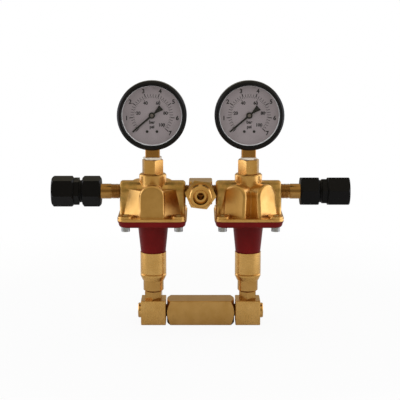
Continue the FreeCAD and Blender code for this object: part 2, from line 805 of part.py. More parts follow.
def makeInletNipple(side):
    body = newBody(side + "_inlet_nipple")
    first = portFace + " - pipe_thread_length + seat_gap"
    last = portFace + " + inner_nut_start + nipple_reach - tube_socket_depth"
    groove = "nipple_radius - nipple_groove_depth"
    groovePlace = portFace + " + nipple_groove_start"
    turned(body, [(first, "nipple_bore_radius"), (first, "pipe_thread_radius"),
                  (portFace, "pipe_thread_radius"), (portFace, "nipple_radius"),
                  (groovePlace, "nipple_radius"), (groovePlace, groove),
                  (groovePlace + " + nipple_groove_width", groove),
                  (groovePlace + " + nipple_groove_width", "nipple_radius"),
                  (last, "nipple_radius"), (last, "nipple_bore_radius")], "XY_Plane", "H_Axis")
    raiseToPort(body, side)


def compressionNut(label, start, length, openAtStart):
    """A hexagon nut with turned corners: tube hole at one end, thread for the union at the other."""
    body = newBody(label)
    end = start + " + " + length
    primitive(body, "AdditivePrism", hexagon("nut_flats", length), (start, "0", "0"),
              alongX * spin(cell("nut_corner_turn")))
    for sign, face in ((1, start), (-1, end)):
        inner = face + (" + nut_edge_length" if sign > 0 else " - nut_edge_length")
        turned(body, [(face, "nut_edge_radius - nut_edge_length / 2"), (face, "nut_flats"),
                      (inner, "nut_flats"), (inner, "nut_flats / sqrt(3)")], "XY_Plane", "H_Axis", cut=True)
    primitive(body, "SubtractiveCylinder", drum("tube_socket_radius + running_clearance", length),
              (start, "0", "0"), alongX)
    threadStart = start if openAtStart else start + " + nut_wall"
    primitive(body, "SubtractiveCylinder",
              drum("union_thread_radius + running_clearance", length + " - nut_wall"),
              (threadStart, "0", "0"), alongX)
    return body


def makeInletNuts(side):
    raiseToPort(compressionNut(side + "_inlet_inner_nut", innerNutStart, "inner_nut_length", False), side)
    raiseToPort(compressionNut(side + "_inlet_outer_nut", unionHexEnd, "outer_nut_length", True), side)


def makeUnionBody(side):
    body = newBody(side + "_union_body")
    first = unionNeck + " - union_stub_length"
    last = unionHexEnd + " + union_stub_length"
    turned(body, [(first, "tube_socket_radius"), (first, "union_thread_radius"),
                  (last, "union_thread_radius"), (last, "tube_socket_radius"),
                  (last + " - tube_socket_depth", "tube_socket_radius"),
                  (last + " - tube_socket_depth", "union_bore_radius"),
                  (first + " + tube_socket_depth", "union_bore_radius"),
                  (first + " + tube_socket_depth", "tube_socket_radius")], "XY_Plane", "H_Axis")
    primitive(body, "AdditivePrism", hexagon("union_hex_flats", "union_hex_length"), (unionHex, "0", "0"),
              alongX * spin(cell("nut_corner_turn")))
    primitive(body, "SubtractiveCylinder", drum("union_bore_radius", "union_hex_length"),
              (unionHex, "0", "0"), alongX)
    raiseToPort(body, side)


# Outlet: tee block between the regulators, stud with a coned mouth facing the front.
def makeOutletTee():
    body = newBody("outlet_tee")
    centredBox(body, "AdditiveBox", "tee_size", "tee_size", "tee_size", "-tee_size / 2")
    roundEdges(body, lambda edge: True, "fitting_edge", chamfer=True)
    for start in ("-tee_size / 2", "tee_size / 2 - tee_thread_length"):
        primitive(body, "SubtractiveCylinder", drum(threadRadius, "tee_thread_length"), (start, "0", "0"),
                  alongX)
    primitive(body, "SubtractiveCylinder", drum("tee_bore_radius", "tee_size"), ("-tee_size / 2", "0", "0"),
              alongX)
    primitive(body, "SubtractiveCylinder", drum("outlet_bore_radius", "tee_size / 2"), ("0", "0", "0"),
              towardsFront)
    primitive(body, "SubtractiveCylinder", drum(threadRadius, "tee_thread_length"),
              ("0", "-tee_size / 2 + tee_thread_length", "0"), towardsFront)
    body.setExpression("Placement.Base.z", bound(portAxis))
    keep(body)


def makeOutletStud():
    body = newBody("outlet_stud")
    face = "-tee_size / 2"
    hexEnd = face + " - outlet_hex_length"
    mouth = hexEnd + " - outlet_stud_length"
    tail = face + " + tee_thread_length - seat_gap"
    turned(body, [("outlet_bore_radius", tail), ("pipe_thread_radius", tail), ("pipe_thread_radius", face),
                  ("outlet_stud_radius", face), ("outlet_stud_radius", mouth + " + outlet_edge"),
                  ("outlet_stud_radius - outlet_edge", mouth), ("outlet_mouth_radius", mouth),
                  ("outlet_cone_radius", mouth + " + outlet_cone_depth"),
                  ("outlet_bore_radius", mouth + " + outlet_cone_depth")], "XY_Plane", "V_Axis")
    primitive(body, "AdditivePrism", hexagon("outlet_hex_flats", "outlet_hex_length"), ("0", face, "0"),
              towardsFront * spin(90 + cell("outlet_hex_turn")))
    for sign, place in ((-1, face), (1, hexEnd)):
        inner = place + (" - outlet_edge" if sign < 0 else " + outlet_edge")
        turned(body, [("outlet_hex_flats / 2", place), ("outlet_hex_flats", place),
                      ("outlet_hex_flats", inner), ("outlet_hex_flats / sqrt(3)", inner)],
               "XY_Plane", "V_Axis", cut=True)
    primitive(body, "SubtractiveCylinder", drum("outlet_bore_radius", "outlet_hex_length"), ("0", face, "0"),
              towardsFront)
    body.setExpression("Placement.Base.z", bound(portAxis))
    keep(body)


# Gauge adaptor and sealing washer on top of the collar.
def makeGaugeAdaptor(side):
    body = newBody(side + "_gauge_adaptor")
    foot = collarTop + " - pipe_thread_length + seat_gap"
    primitive(body, "AdditivePrism", hexagon("gauge_adaptor_flats", "gauge_adaptor_height"),
              ("0", "0", collarTop), spin(30 - sides[side] * cell("gauge_adaptor_turn")))
    primitive(body, "AdditiveCylinder", drum("pipe_thread_radius", "pipe_thread_length - seat_gap"),
              ("0", "0", foot))
    for end, step in ((adaptorTop, " - fitting_edge"), (collarTop, " + fitting_edge")):
        turned(body, [("gauge_adaptor_flats / 2", end), ("gauge_adaptor_flats", end),
                      ("gauge_adaptor_flats", end + step), ("gauge_adaptor_flats / sqrt(3)", end + step)],
               cut=True)
    primitive(body, "SubtractiveCylinder",
              drum("gauge_adaptor_bore", "gauge_adaptor_height + pipe_thread_length"), ("0", "0", foot))
    primitive(body, "SubtractiveCylinder", drum(threadRadius, "pipe_thread_length"),
              ("0", "0", adaptorTop + " - pipe_thread_length"))
    keep(body, side)


def makeGaugeWashers():
    washers = []
    for side in sides:
        body = newBody(side + "_washer")
        turned(body, [(threadRadius, adaptorTop), ("washer_radius", adaptorTop), ("washer_radius", washerTop),
                      (threadRadius, washerTop)])
        placeOnColumn(body, side)
        washers.append(body)
    group(washers, "gauge_washers")


# Gauge: each piece is drawn about the dial's centre, facing -Y.
def raiseToGauge(item, side):
    item.setExpression("Placement.Base.z", bound(gaugeAxis))
    keep(item, side, turnedRound=False)


def makeGaugeCase(side):
    body = newBody(side + "_gauge_case")
    rim = "-(bezel_front - lens_thickness - bezel_lip)"
    inside = caseRadius + " - case_wall"
    turned(body, [("0", "case_back"), (caseRadius + " - case_corner", "case_back"),
                  (caseRadius, "case_back - case_corner"), (caseRadius, rim), (inside, rim),
                  (inside, "case_back - case_wall - case_corner"),
                  (inside + " - case_corner", "case_back - case_wall"), ("0", "case_back - case_wall")],
           "XY_Plane", "V_Axis")
    centredBox(body, "SubtractiveBox", "socket_size + 2 * seat_gap", "socket_size + 2 * seat_gap",
               caseRadius, "-" + caseRadius + " - case_wall")
    raiseToGauge(body, side)


def makeGaugeBezel(side):
    body = newBody(side + "_gauge_bezel")
    front, rear = "-bezel_front", "-(bezel_front - bezel_length)"
    inside = caseRadius + " + thread_clearance"
    under = "-(bezel_front - bezel_lip)"
    turned(body, [(windowRadius, under), (windowRadius, "-(bezel_front - window_edge)"),
                  (windowRadius + " + window_edge", front), ("bezel_radius - bezel_edge", front),
                  ("bezel_radius", "-(bezel_front - bezel_edge)"), ("bezel_radius", rear), (inside, rear),
                  (inside, under)], "XY_Plane", "V_Axis")
    raiseToGauge(body, side)


def makeGaugeLens(side):
    body = newBody(side + "_gauge_lens")
    front, rear = "-(bezel_front - bezel_lip)", "-(bezel_front - bezel_lip - lens_thickness)"
    turned(body, [("0", rear), (caseRadius, rear), (caseRadius, front), ("0", front)],
           "XY_Plane", "V_Axis")
    raiseToGauge(body, side)


def makeGaugeDial(side):
    body = newBody(side + "_gauge_dial")
    rear = "-(dial_front - dial_thickness)"
    hole = "arbor_boss_radius"
    turned(body, [(hole, rear), (dialRadius, rear), (dialRadius, "-dial_front"), (hole, "-dial_front")],
           "XY_Plane", "V_Axis")
    raiseToGauge(body, side)


def makeGaugeSocket(side):
    body = newBody(side + "_gauge_socket")
    foot = "-(" + gaugeRise + " + washer_height + pipe_thread_length - seat_gap)"
    rise = gaugeRise + " - " + socketTop
    centredBox(body, "AdditiveBox", "socket_size", "socket_size", rise, "-" + gaugeRise)
    roundEdges(body, isUpright, "fitting_edge", chamfer=True)
    primitive(body, "AdditiveCylinder",
              drum("pipe_thread_radius", "washer_height + pipe_thread_length - seat_gap"), ("0", "0", foot))
    primitive(body, "SubtractiveCylinder",
              drum("socket_bore_radius", rise + " + washer_height"), ("0", "0", foot))
    raiseToGauge(body, side)


def flatSection(halfWidth, halfDepth, centre, segments=16):
    rim = [Vector(centre + halfWidth * math.cos(2 * math.pi * k / segments),
                  halfDepth * math.sin(2 * math.pi * k / segments), 0) for k in range(segments)]
    return Part.Face(Part.makePolygon(rim + [rim[0]]))


def makeBourdonTube(side):
    item = doc.addObject("Part::Feature", side + "_bourdon_tube")
    item.Label = side + "_bourdon_tube"
    ring = valueOf(tubeRing)
    section = flatSection(cell("tube_section_width") / 2, cell("tube_section_depth") / 2, ring)
    coiled = section.revolve(Vector(), Vector(0, 1, 0), cell("tube_sweep"))
    coiled.rotate(Vector(), Vector(0, 1, 0), 90)
    size, floor = cell("socket_size"), valueOf(gaugeRise)
    root = Part.makeBox(size, size, floor, Vector(-size / 2, -size / 2, -floor))
    item.Shape = coiled.cut(root)
    raiseToGauge(item, side)


def makeMovementFrame(side):
    body = newBody(side + "_movement_frame")
    width, head, foot = "frame_width / 2", "frame_head", "-" + socketTop
    for shift in ("frame_front - frame_plate", "frame_front - 2 * frame_plate - frame_gap"):
        padded(body, [("-" + width, foot), (width, foot), (width, head), ("-" + width, head)],
               "frame_plate", "XZ_Plane", shift)
    dialRear = "dial_front - dial_thickness"
    for i in (-1, 1):
        for z in (foot + " + pillar_inset", head + " - pillar_inset"):
            primitive(body, "AdditiveCylinder",
                      drum("pillar_radius", dialRear + " - frame_front + 2 * frame_plate + frame_gap"),
                      ("%d * (frame_width / 2 - pillar_inset)" % i, "-(" + dialRear + ")", z), alongY)
    for z in ("0", "-gear_module * (pinion_teeth + sector_full_teeth) / 2"):
        primitive(body, "SubtractiveCylinder",
                  drum("arbor_radius + running_clearance", "2 * frame_plate + frame_gap"),
                  ("0", "-frame_front", z), alongY)
    raiseToGauge(body, side)


def toothRing(teeth, firstTooth, lastTooth, phase):
    """Rim points of straight-flanked teeth; angles run clockwise from straight up, seen from the front."""
    module = cell("gear_module")
    pitch = module * teeth / 2
    step = 2 * math.pi / teeth
    rootHalf, tipHalf = cell("tooth_root_share") / 2, cell("tooth_tip_share") / 2
    root, tip = pitch - cell("tooth_dedendum") * module, pitch + cell("tooth_addendum") * module
    points = []
    for tooth in range(firstTooth, lastTooth + 1):
        middle = phase + tooth * step
        for offset, radius in ((-rootHalf, root), (-tipHalf, tip), (tipHalf, tip), (rootHalf, root)):
            angle = middle + offset * step
            points.append(Vector(radius * math.sin(angle), 0, radius * math.cos(angle)))
    return points


def solidFrom(points, rear, thickness):
    face = Part.Face(Part.makePolygon(points + [points[0]]))
    face.translate(Vector(0, rear, 0))
    return face.extrude(Vector(0, -thickness, 0))


def rod(radius, rear, front, centre=0.0):
    return Part.makeCylinder(radius, rear - front, Vector(0, rear, centre), Vector(0, -1, 0))


def gearRear():
    return -(cell("frame_front") - cell("frame_plate") - cell("frame_gap") / 2 - cell("gear_thickness") / 2)


def makePointer(side):
    blade = -cell("dial_front") - cell("pointer_gap")
    rear = -(cell("frame_front") - 2 * cell("frame_plate") - cell("frame_gap"))
    hub = blade - cell("pointer_hub_thickness")
    teeth = int(cell("pinion_teeth"))
    pinion = solidFrom(toothRing(teeth, 0, teeth - 1, math.pi), gearRear(), cell("gear_thickness"))
    tipHalf, rootHalf = cell("pointer_tip_width") / 2, cell("pointer_root_width") / 2
    tailStart = cell("pointer_hub_radius")
    outline = [(-cell("pointer_tail"), cell("pointer_tail_width") / 2), (-tailStart, rootHalf / 2),
               (0, rootHalf), (valueOf(dialRadius) - cell("pointer_room"), tipHalf)]
    outline = outline + [(along, -across) for along, across in reversed(outline)]
    heading = math.radians(cell("pointer_angle"))
    points = [Vector(along * math.cos(heading) - across * math.sin(heading), 0,
                     along * math.sin(heading) + across * math.cos(heading)) for along, across in outline]
    needle = solidFrom(points, blade, cell("pointer_blade"))
    shape = rod(cell("arbor_radius"), rear, hub).fuse(
        [pinion, needle, rod(cell("pointer_hub_radius"), blade, hub)]).removeSplitter()
    item = doc.addObject("Part::Feature", side + "_gauge_pointer")
    item.Label = side + "_gauge_pointer"
    item.Shape = shape
    raiseToGauge(item, side)


def makeSector(side):
    module = cell("gear_module")
    teeth = int(cell("sector_full_teeth"))
    centre = -module * (teeth + cell("pinion_teeth")) / 2
    step = 2 * math.pi / teeth
    rim = toothRing(teeth, int(cell("sector_first_tooth")), int(cell("sector_last_tooth")), step / 2)
    arm = cell("sector_arm_width") / 2
    outline = rim + [Vector(arm, 0, -arm), Vector(-arm, 0, -arm)]
    plate = solidFrom(outline, gearRear(), cell("sector_thickness"))
    plate.translate(Vector(0, (cell("sector_thickness") - cell("gear_thickness")) / 2, centre))
    rear = -(cell("frame_front") - 2 * cell("frame_plate") - cell("frame_gap"))
    boss = rod(cell("arbor_boss_radius"), gearRear(), gearRear() - cell("gear_thickness"), centre)
    shape = rod(cell("arbor_radius"), rear, -cell("frame_front"), centre).fuse([plate, boss]).removeSplitter()
    item = doc.addObject("Part::Feature", side + "_gauge_sector")
    item.Label = side + "_gauge_sector"
    item.Shape = shape
    raiseToGauge(item, side)


for side in sides:
    makeElbowBlock(side)
    makeLowerAdaptor(side)
    makeSpringCap(side)
    makeSpringButton(side)
    makeBonnet(side)
    makeDiaphragm(side)
    makeDiaphragmPlate(side)
    makeRangeSpring(side)
    makeRegulatorBody(side)
    makeValveSeat(side)
    makeValvePoppet(side)
    makeValveSpring(side)
    makeInletNipple(side)
    makeInletNuts(side)
    makeUnionBody(side)
    makeGaugeAdaptor(side)
    makeGaugeCase(side)
    makeGaugeBezel(side)
    makeGaugeLens(side)
    makeGaugeDial(side)
    makeGaugeSocket(side)
    makeBourdonTube(side)
    makeMovementFrame(side)
    makePointer(side)
    makeSector(side)
makeElbowPlugs()
makeCrossBar()
makeShuttle()
makeLinkNipples()
makeFlangeScrews()
makeOutletTee()
makeOutletStud()
makeGaugeWashers()
doc.recompute()

for item in doc.Objects:
    if "Invalid" in item.State or "Error" in item.State:
        raise RuntimeError("%s failed: %s" % (item.Name, item.State))
for item in parts:
    if item.Shape.isNull() or not item.Shape.isValid() or not item.Shape.Solids:
        raise RuntimeError("%s has no valid solid" % item.Label)

os.makedirs("parts", exist_ok=True)
for item in parts:
    item.Shape.exportStep("parts/%s.step" % item.Label)
    print("%-28s %2d solid(s) %10.1f mm3" % (item.Label, len(item.Shape.Solids), item.Shape.Volume))
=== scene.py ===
# Automatic changeover regulator: finishes, springs, threads, tape, dial print and studio
import bmesh
import bpy
import math
from mathutils import Matrix, Vector, noise


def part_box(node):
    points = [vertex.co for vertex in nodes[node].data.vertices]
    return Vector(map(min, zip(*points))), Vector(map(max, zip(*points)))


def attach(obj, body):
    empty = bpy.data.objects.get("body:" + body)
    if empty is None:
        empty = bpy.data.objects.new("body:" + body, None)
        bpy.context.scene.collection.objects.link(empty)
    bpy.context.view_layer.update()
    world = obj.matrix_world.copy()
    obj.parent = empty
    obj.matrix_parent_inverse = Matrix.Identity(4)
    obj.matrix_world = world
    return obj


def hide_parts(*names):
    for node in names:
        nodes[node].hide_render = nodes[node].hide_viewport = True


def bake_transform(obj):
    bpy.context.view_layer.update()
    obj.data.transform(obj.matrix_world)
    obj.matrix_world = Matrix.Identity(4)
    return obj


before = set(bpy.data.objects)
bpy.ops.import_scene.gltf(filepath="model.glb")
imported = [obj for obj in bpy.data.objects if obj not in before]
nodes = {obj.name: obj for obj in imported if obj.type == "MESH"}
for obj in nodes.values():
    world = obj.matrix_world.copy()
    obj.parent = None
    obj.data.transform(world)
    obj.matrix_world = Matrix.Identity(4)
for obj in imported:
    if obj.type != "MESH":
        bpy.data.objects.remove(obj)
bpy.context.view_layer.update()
sides = {"left": -1, "right": 1}
print("model loaded:", len(nodes), "nodes")


# Shader maths: a Wire is a node's output, and sums of wires add Math nodes
class Wire:
    def __init__(self, finish, socket):
        self.finish = finish
        self.socket = socket

    def maths(self, operation, first, second):
        return self.finish.node("Math", {"operation": operation}, {0: first, 1: second})

    def __add__(self, other):
        return self.maths("ADD", self, other)

    def __radd__(self, other):
        return self.maths("ADD", other, self)

    def __sub__(self, other):
        return self.maths("SUBTRACT", self, other)

    def __rsub__(self, other):
        return self.maths("SUBTRACT", other, self)

    def __mul__(self, other):
        return self.maths("MULTIPLY", self, other)

    def __rmul__(self, other):
        return self.maths("MULTIPLY", other, self)

    def __pow__(self, other):
        return self.maths("POWER", self, other)

    def __abs__(self):
        return self.finish.node("Math", {"operation": "ABSOLUTE"}, {0: self})

    def larger(self, other):
        return self.maths("MAXIMUM", self, other)


class Finish:
    def __init__(self, owner):
        owner.use_nodes = True
        self.owner = owner
        self.tree = owner.node_tree
        self.tree.nodes.clear()

    def node(self, kind, settings=None, sockets=None, output=0):
        made = self.tree.nodes.new("ShaderNode" + kind)
        for name, value in (settings or {}).items():
            setattr(made, name, value)
        for name, value in (sockets or {}).items():
            if isinstance(value, Wire):
                self.tree.links.new(value.socket, made.inputs[name])
            elif made.inputs[name].type == "RGBA" and len(value) == 3:
                made.inputs[name].default_value = (*value, 1)
            else:
                made.inputs[name].default_value = value
        if len(made.outputs):
            return Wire(self, made.outputs[output])

    def place(self, stretch=(1, 1, 1)):
        # where a point lies on the object, in metres, squeezed along an axis for streaks
        here = self.node("TexCoord", output="Object")
        return self.node("Mapping", {}, {"Vector": here, "Scale": stretch})

    def parts(self, vector):
        # how far a vector goes along each axis
        split = self.node("SeparateXYZ", {}, {0: vector}).socket.node
        return [Wire(self, part) for part in split.outputs]

    def noise(self, scale, detail=3, roughness=0.5, stretch=(1, 1, 1)):
        # a finish's values list each noise in this order
        return self.node("TexNoise", {}, {"Vector": self.place(stretch), "Scale": scale,
                                          "Detail": detail, "Roughness": roughness})

    def ramp(self, factor, low, high):
        # from 0 at low to 1 at high, which may also be the smaller of the two
        return self.node("MapRange", {"clamp": True},
                         {"Value": factor, "From Min": low, "From Max": high})

    def blend(self, factor, first, second):
        return self.node("Mix", {"data_type": "RGBA"}, {0: factor, 6: first, 7: second}, output=2)

    def relief(self, height, depth, strength, rounding):
        # bumps, their depth in metres, on top of edges that are rounded by a small radius
        edge = self.node("Bevel", {"samples": 4}, {"Radius": rounding})
        return self.node("Bump", {}, {"Height": height, "Distance": depth, "Strength": strength,
                                      "Normal": edge})

    def surface(self, **sockets):
        named = {name.replace("_", " "): value for name, value in sockets.items()}
        self.close(self.node("BsdfPrincipled", {}, named))

    def close(self, shader):
        self.node("OutputMaterial", {}, {"Surface": shader})


def newFinish(name):
    return Finish(bpy.data.materials.new(name))


# Colours as they look in plain light, in linear values
brassColours = {"bright": (0.71, 0.42, 0.135), "deep": (0.57, 0.31, 0.08),
                "tarnish": (0.27, 0.125, 0.03)}

# Darker, rougher brass on the ends and tops of the cross barrels, placed from the casting's middle,
# flange and collar
darkBarrelValues = {"colour": (0.33, 0.22, 0.055), "endsFrom": (0.024, 0.0275), "overFlange": (0.009, 0.012),
              "underCollar": (0.0165, 0.0145), "topDepth": (0.0135, 0.0115),
              "topFrom": (0.0145, 0.0165), "mottle": (240, 4, 0.65), "mottleRamp": (0.3, 0.68),
              "share": 0.75, "roughness": 0.13}


def barrelSkin(f):
    # 1 on the ends and the top of each cross barrel, fading out towards the casting's middle
    values = darkBarrelValues
    low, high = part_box("right_regulator_body")
    x, y, z = f.parts(f.place())
    away = abs(abs(x) - (low.x + high.x) / 2)
    ends = f.ramp(away, *values["endsFrom"])
    ends = ends * f.ramp(z, *(low.z + rise for rise in values["overFlange"]))
    top = f.ramp(z, *(high.z - drop for drop in values["underCollar"]))
    top = top * f.ramp(abs(y), *values["topDepth"]) * f.ramp(away, *values["topFrom"])
    return ends.larger(top)


def castBrass():
    values = {"cloud": (55, 5, 0.6), "cloudRamp": (0.35, 0.7), "grain": (1100, 2, 0.6),
              "grainShare": 0.35, "ripple": (176, 3), "rippleShare": 0.65, "specks": (550, 4, 0.7),
              "speckRamp": (0.66, 0.8), "speckShare": 0.25, "roughness": 0.25, "cloudRoughness": 0.12,
              "speckRoughness": 0.1, "relief": (0.00003, 0.7, 0.0011)}
    f = newFinish("cast_brass")
    cloud = f.noise(*values["cloud"])
    specks = f.ramp(f.noise(*values["specks"]), *values["speckRamp"])
    tint = f.blend(f.ramp(cloud, *values["cloudRamp"]), brassColours["bright"], brassColours["deep"])
    # the cross barrels' ends and tops are made darker and rougher
    darkBarrels = barrelSkin(f)
    mottle = f.ramp(f.noise(*darkBarrelValues["mottle"]), *darkBarrelValues["mottleRamp"])
    tint = f.blend(darkBarrels * mottle * darkBarrelValues["share"], tint, darkBarrelValues["colour"])
    roughness = values["roughness"] + cloud * values["cloudRoughness"]
    roughness = roughness + specks * values["speckRoughness"] + darkBarrels * darkBarrelValues["roughness"]
    height = f.noise(*values["grain"]) * values["grainShare"]
    height = height + f.noise(*values["ripple"]) * values["rippleShare"]
    f.surface(Base_Color=f.blend(specks * values["speckShare"], tint, brassColours["tarnish"]),
              Metallic=1.0, Roughness=roughness, Normal=f.relief(height, *values["relief"]))
    return f.owner


def turnedBrass(name, axis, roughness=0.16, darkening=0.0):
    # rings left by the lathe run round the axis, and streaks on flats lie the same way
    values = {"rings": (2600, 3, 0.65), "ringStretch": 0.03, "ringRoughness": 0.12,
              "cloud": (70, 4, 0.6), "cloudRamp": (0.3, 0.75), "scuffs": (420, 5, 0.7),
              "scuffRamp": (0.58, 0.8), "scuffShare": 0.35, "scuffRoughness": 0.15,
              "relief": (0.000006, 0.6, 0.00025)}
    f = newFinish(name)
    stretch = tuple(1.0 if letter == axis else values["ringStretch"] for letter in "XYZ")
    rings = f.noise(*values["rings"], stretch)
    cloud = f.noise(*values["cloud"])
    scuffs = f.ramp(f.noise(*values["scuffs"]), *values["scuffRamp"])
    tint = f.blend(f.ramp(cloud, *values["cloudRamp"]), brassColours["bright"], brassColours["deep"])
    # darkening mixes the tarnish colour evenly over the whole part
    f.surface(Base_Color=f.blend(scuffs * values["scuffShare"] + darkening, tint, brassColours["tarnish"]),
              Metallic=1.0,
              Roughness=roughness + rings * values["ringRoughness"] + scuffs * values["scuffRoughness"],
              Normal=f.relief(rings, *values["relief"]))
    return f.owner


def redPaint():
    values = {"red": (0.146, 0.0043, 0.004), "shade": (0.10, 0.0028, 0.0026), "cloud": (45, 4, 0.6),
              "cloudRamp": (0.3, 0.75), "roughness": 0.32, "cloudRoughness": 0.14, "gloss": 0.1,
              "peel": (620, 2), "relief": (0.00005, 0.6, 0.0005)}
    f = newFinish("red_paint")
    cloud = f.noise(*values["cloud"])
    f.surface(Base_Color=f.blend(f.ramp(cloud, *values["cloudRamp"]), values["red"], values["shade"]),
              Roughness=values["roughness"] + cloud * values["cloudRoughness"],
              Specular_IOR_Level=values["gloss"],
              Normal=f.relief(f.noise(*values["peel"]), *values["relief"]))
    return f.owner


def blackSteel():
    values = {"black": (0.0022, 0.0019, 0.0017), "worn": (0.012, 0.0105, 0.0095),
              "rub": (300, 5, 0.7), "rubRamp": (0.6, 0.82), "rubShare": 0.6, "cloud": (120, 4, 0.65),
              "roughness": 0.36, "cloudRoughness": 0.2, "gloss": 0.12, "grain": (2400, 3, 0.6),
              "relief": (0.00003, 0.6, 0.0006)}
    f = newFinish("black_steel")
    rub = f.ramp(f.noise(*values["rub"]), *values["rubRamp"])
    f.surface(Base_Color=f.blend(rub * values["rubShare"], values["black"], values["worn"]),
              Roughness=values["roughness"] + f.noise(*values["cloud"]) * values["cloudRoughness"],
              Specular_IOR_Level=values["gloss"],
              Normal=f.relief(f.noise(*values["grain"]), *values["relief"]))
    return f.owner


def blackEnamel():
    values = {"black": (0.0018, 0.0016, 0.0018), "dust": (0.009, 0.008, 0.0085),
              "cloud": (90, 5, 0.65), "cloudRamp": (0.5, 0.85), "roughness": 0.3,
              "cloudRoughness": 0.14, "gloss": 0.2, "peel": (500, 2), "relief": (0.00003, 0.5, 0.0006)}
    f = newFinish("black_enamel")
    cloud = f.noise(*values["cloud"])
    f.surface(Base_Color=f.blend(f.ramp(cloud, *values["cloudRamp"]), values["black"], values["dust"]),
              Roughness=values["roughness"] + cloud * values["cloudRoughness"],
              Specular_IOR_Level=values["gloss"],
              Normal=f.relief(f.noise(*values["peel"]), *values["relief"]))
    return f.owner


def clearWindow():
    # a thin flat window: the dial shows through, and only the mirror of the studio is added
    values = {"clear": (0.97, 0.98, 0.98), "smear": (60, 4, 0.6), "roughness": 0.03,
              "smearRoughness": 0.03, "headOn": 0.015, "grazing": 0.9, "falloff": 5.0}
    f = newFinish("clear_window")
    smear = f.noise(*values["smear"])
    through = f.node("BsdfTransparent", {}, {"Color": values["clear"]})
    roughness = values["roughness"] + smear * values["smearRoughness"]
    shine = f.node("BsdfPrincipled", {}, {"Base Color": (1, 1, 1), "Metallic": 1.0,
                                          "Roughness": roughness})
    facing = f.node("LayerWeight", {}, {"Blend": 0.5}, output="Facing")
    share = values["headOn"] + values["grazing"] * facing ** values["falloff"]
    f.close(f.node("MixShader", {}, {0: share, 1: through, 2: shine}))
    return f.owner


def dialSilver():
    values = {"silver": (0.315, 0.26, 0.272), "shade": (0.255, 0.208, 0.219), "cloud": (40, 3),
              "cloudRamp": (0.3, 0.7), "metal": 0.15, "roughness": 0.42, "fibreRoughness": 0.12,
              "fibre": (900, 3, 0.6), "fibreStretch": (1, 1, 0.04), "relief": (0.00001, 0.3, 0.0001)}
    f = newFinish("dial_silver")
    fibre = f.noise(*values["fibre"], values["fibreStretch"])
    cloud = f.ramp(f.noise(*values["cloud"]), *values["cloudRamp"])
    f.surface(Base_Color=f.blend(cloud, values["silver"], values["shade"]), Metallic=values["metal"],
              Roughness=values["roughness"] + fibre * values["fibreRoughness"],
              Normal=f.relief(fibre, *values["relief"]))
    return f.owner


def screwPlate():
    # zinc heads below the flange, and ends above it in a brass colour
    values = {"zinc": (0.42, 0.42, 0.41), "worn": (0.20, 0.20, 0.19), "end": (0.42, 0.29, 0.11),
              "grain": (500, 4, 0.65), "grainRamp": (0.3, 0.7), "changeHeight": (0.1115, 0.113),
              "metal": 0.9, "roughness": 0.28, "grainRoughness": 0.18, "relief": (0.00002, 0.5, 0.0001)}
    f = newFinish("screw_plate")
    grain = f.noise(*values["grain"])
    plate = f.blend(f.ramp(grain, *values["grainRamp"]), values["zinc"], values["worn"])
    height = f.parts(f.place())[2]
    f.surface(Base_Color=f.blend(f.ramp(height, *values["changeHeight"]), plate, values["end"]),
              Metallic=values["metal"],
              Roughness=values["roughness"] + grain * values["grainRoughness"],
              Normal=f.relief(grain, *values["relief"]))
    return f.owner


def plainFinish(name, light, dark, roughness, grain=300, depth=0.00001, metal=0.0):
    # two shades mixed by a fine grain, for print, the pale ring that is a painted highlight, and small
    # hidden parts
    values = {"grainDetail": (4, 0.65), "grainRamp": (0.3, 0.7), "grainRoughness": 0.18,
              "gloss": 0.12, "strength": 0.5, "rounding": 0.0001}
    f = newFinish(name)
    speckle = f.noise(grain, *values["grainDetail"])
    f.surface(Base_Color=f.blend(f.ramp(speckle, *values["grainRamp"]), light, dark), Metallic=metal,
              Specular_IOR_Level=values["gloss"],
              Roughness=roughness + speckle * values["grainRoughness"],
              Normal=f.relief(speckle, depth, values["strength"], values["rounding"]))
    return f.owner


def nitrile():
    values = {"weave": 1400, "black": (0.02, 0.02, 0.022), "dusty": (0.045, 0.045, 0.048),
              "roughness": 0.6, "weaveRoughness": 0.2, "relief": (0.00006, 0.6, 0.0002)}
    f = newFinish("nitrile")
    weave = f.node("TexVoronoi", {}, {"Vector": f.place(), "Scale": values["weave"]})
    f.surface(Base_Color=f.blend(weave, values["black"], values["dusty"]),
              Roughness=values["roughness"] + weave * values["weaveRoughness"],
              Normal=f.relief(weave, *values["relief"]))
    return f.owner


def whiteTape():
    # wound sealing tape, a little dirty in its folds
    values = {"white": (0.84, 0.78, 0.68), "dirt": (0.55, 0.44, 0.3), "folds": (1500, 4, 0.65),
              "foldStretch": (0.1, 0.1, 1), "foldRamp": (0.4, 0.8), "roughness": 0.5,
              "foldRoughness": 0.2, "relief": (0.00015, 0.8, 0.0003)}
    f = newFinish("white_tape")
    folds = f.noise(*values["folds"], values["foldStretch"])
    f.surface(Base_Color=f.blend(f.ramp(folds, *values["foldRamp"]), values["white"], values["dirt"]),
              Roughness=values["roughness"] + folds * values["foldRoughness"],
              Normal=f.relief(folds, *values["relief"]))
    return f.owner


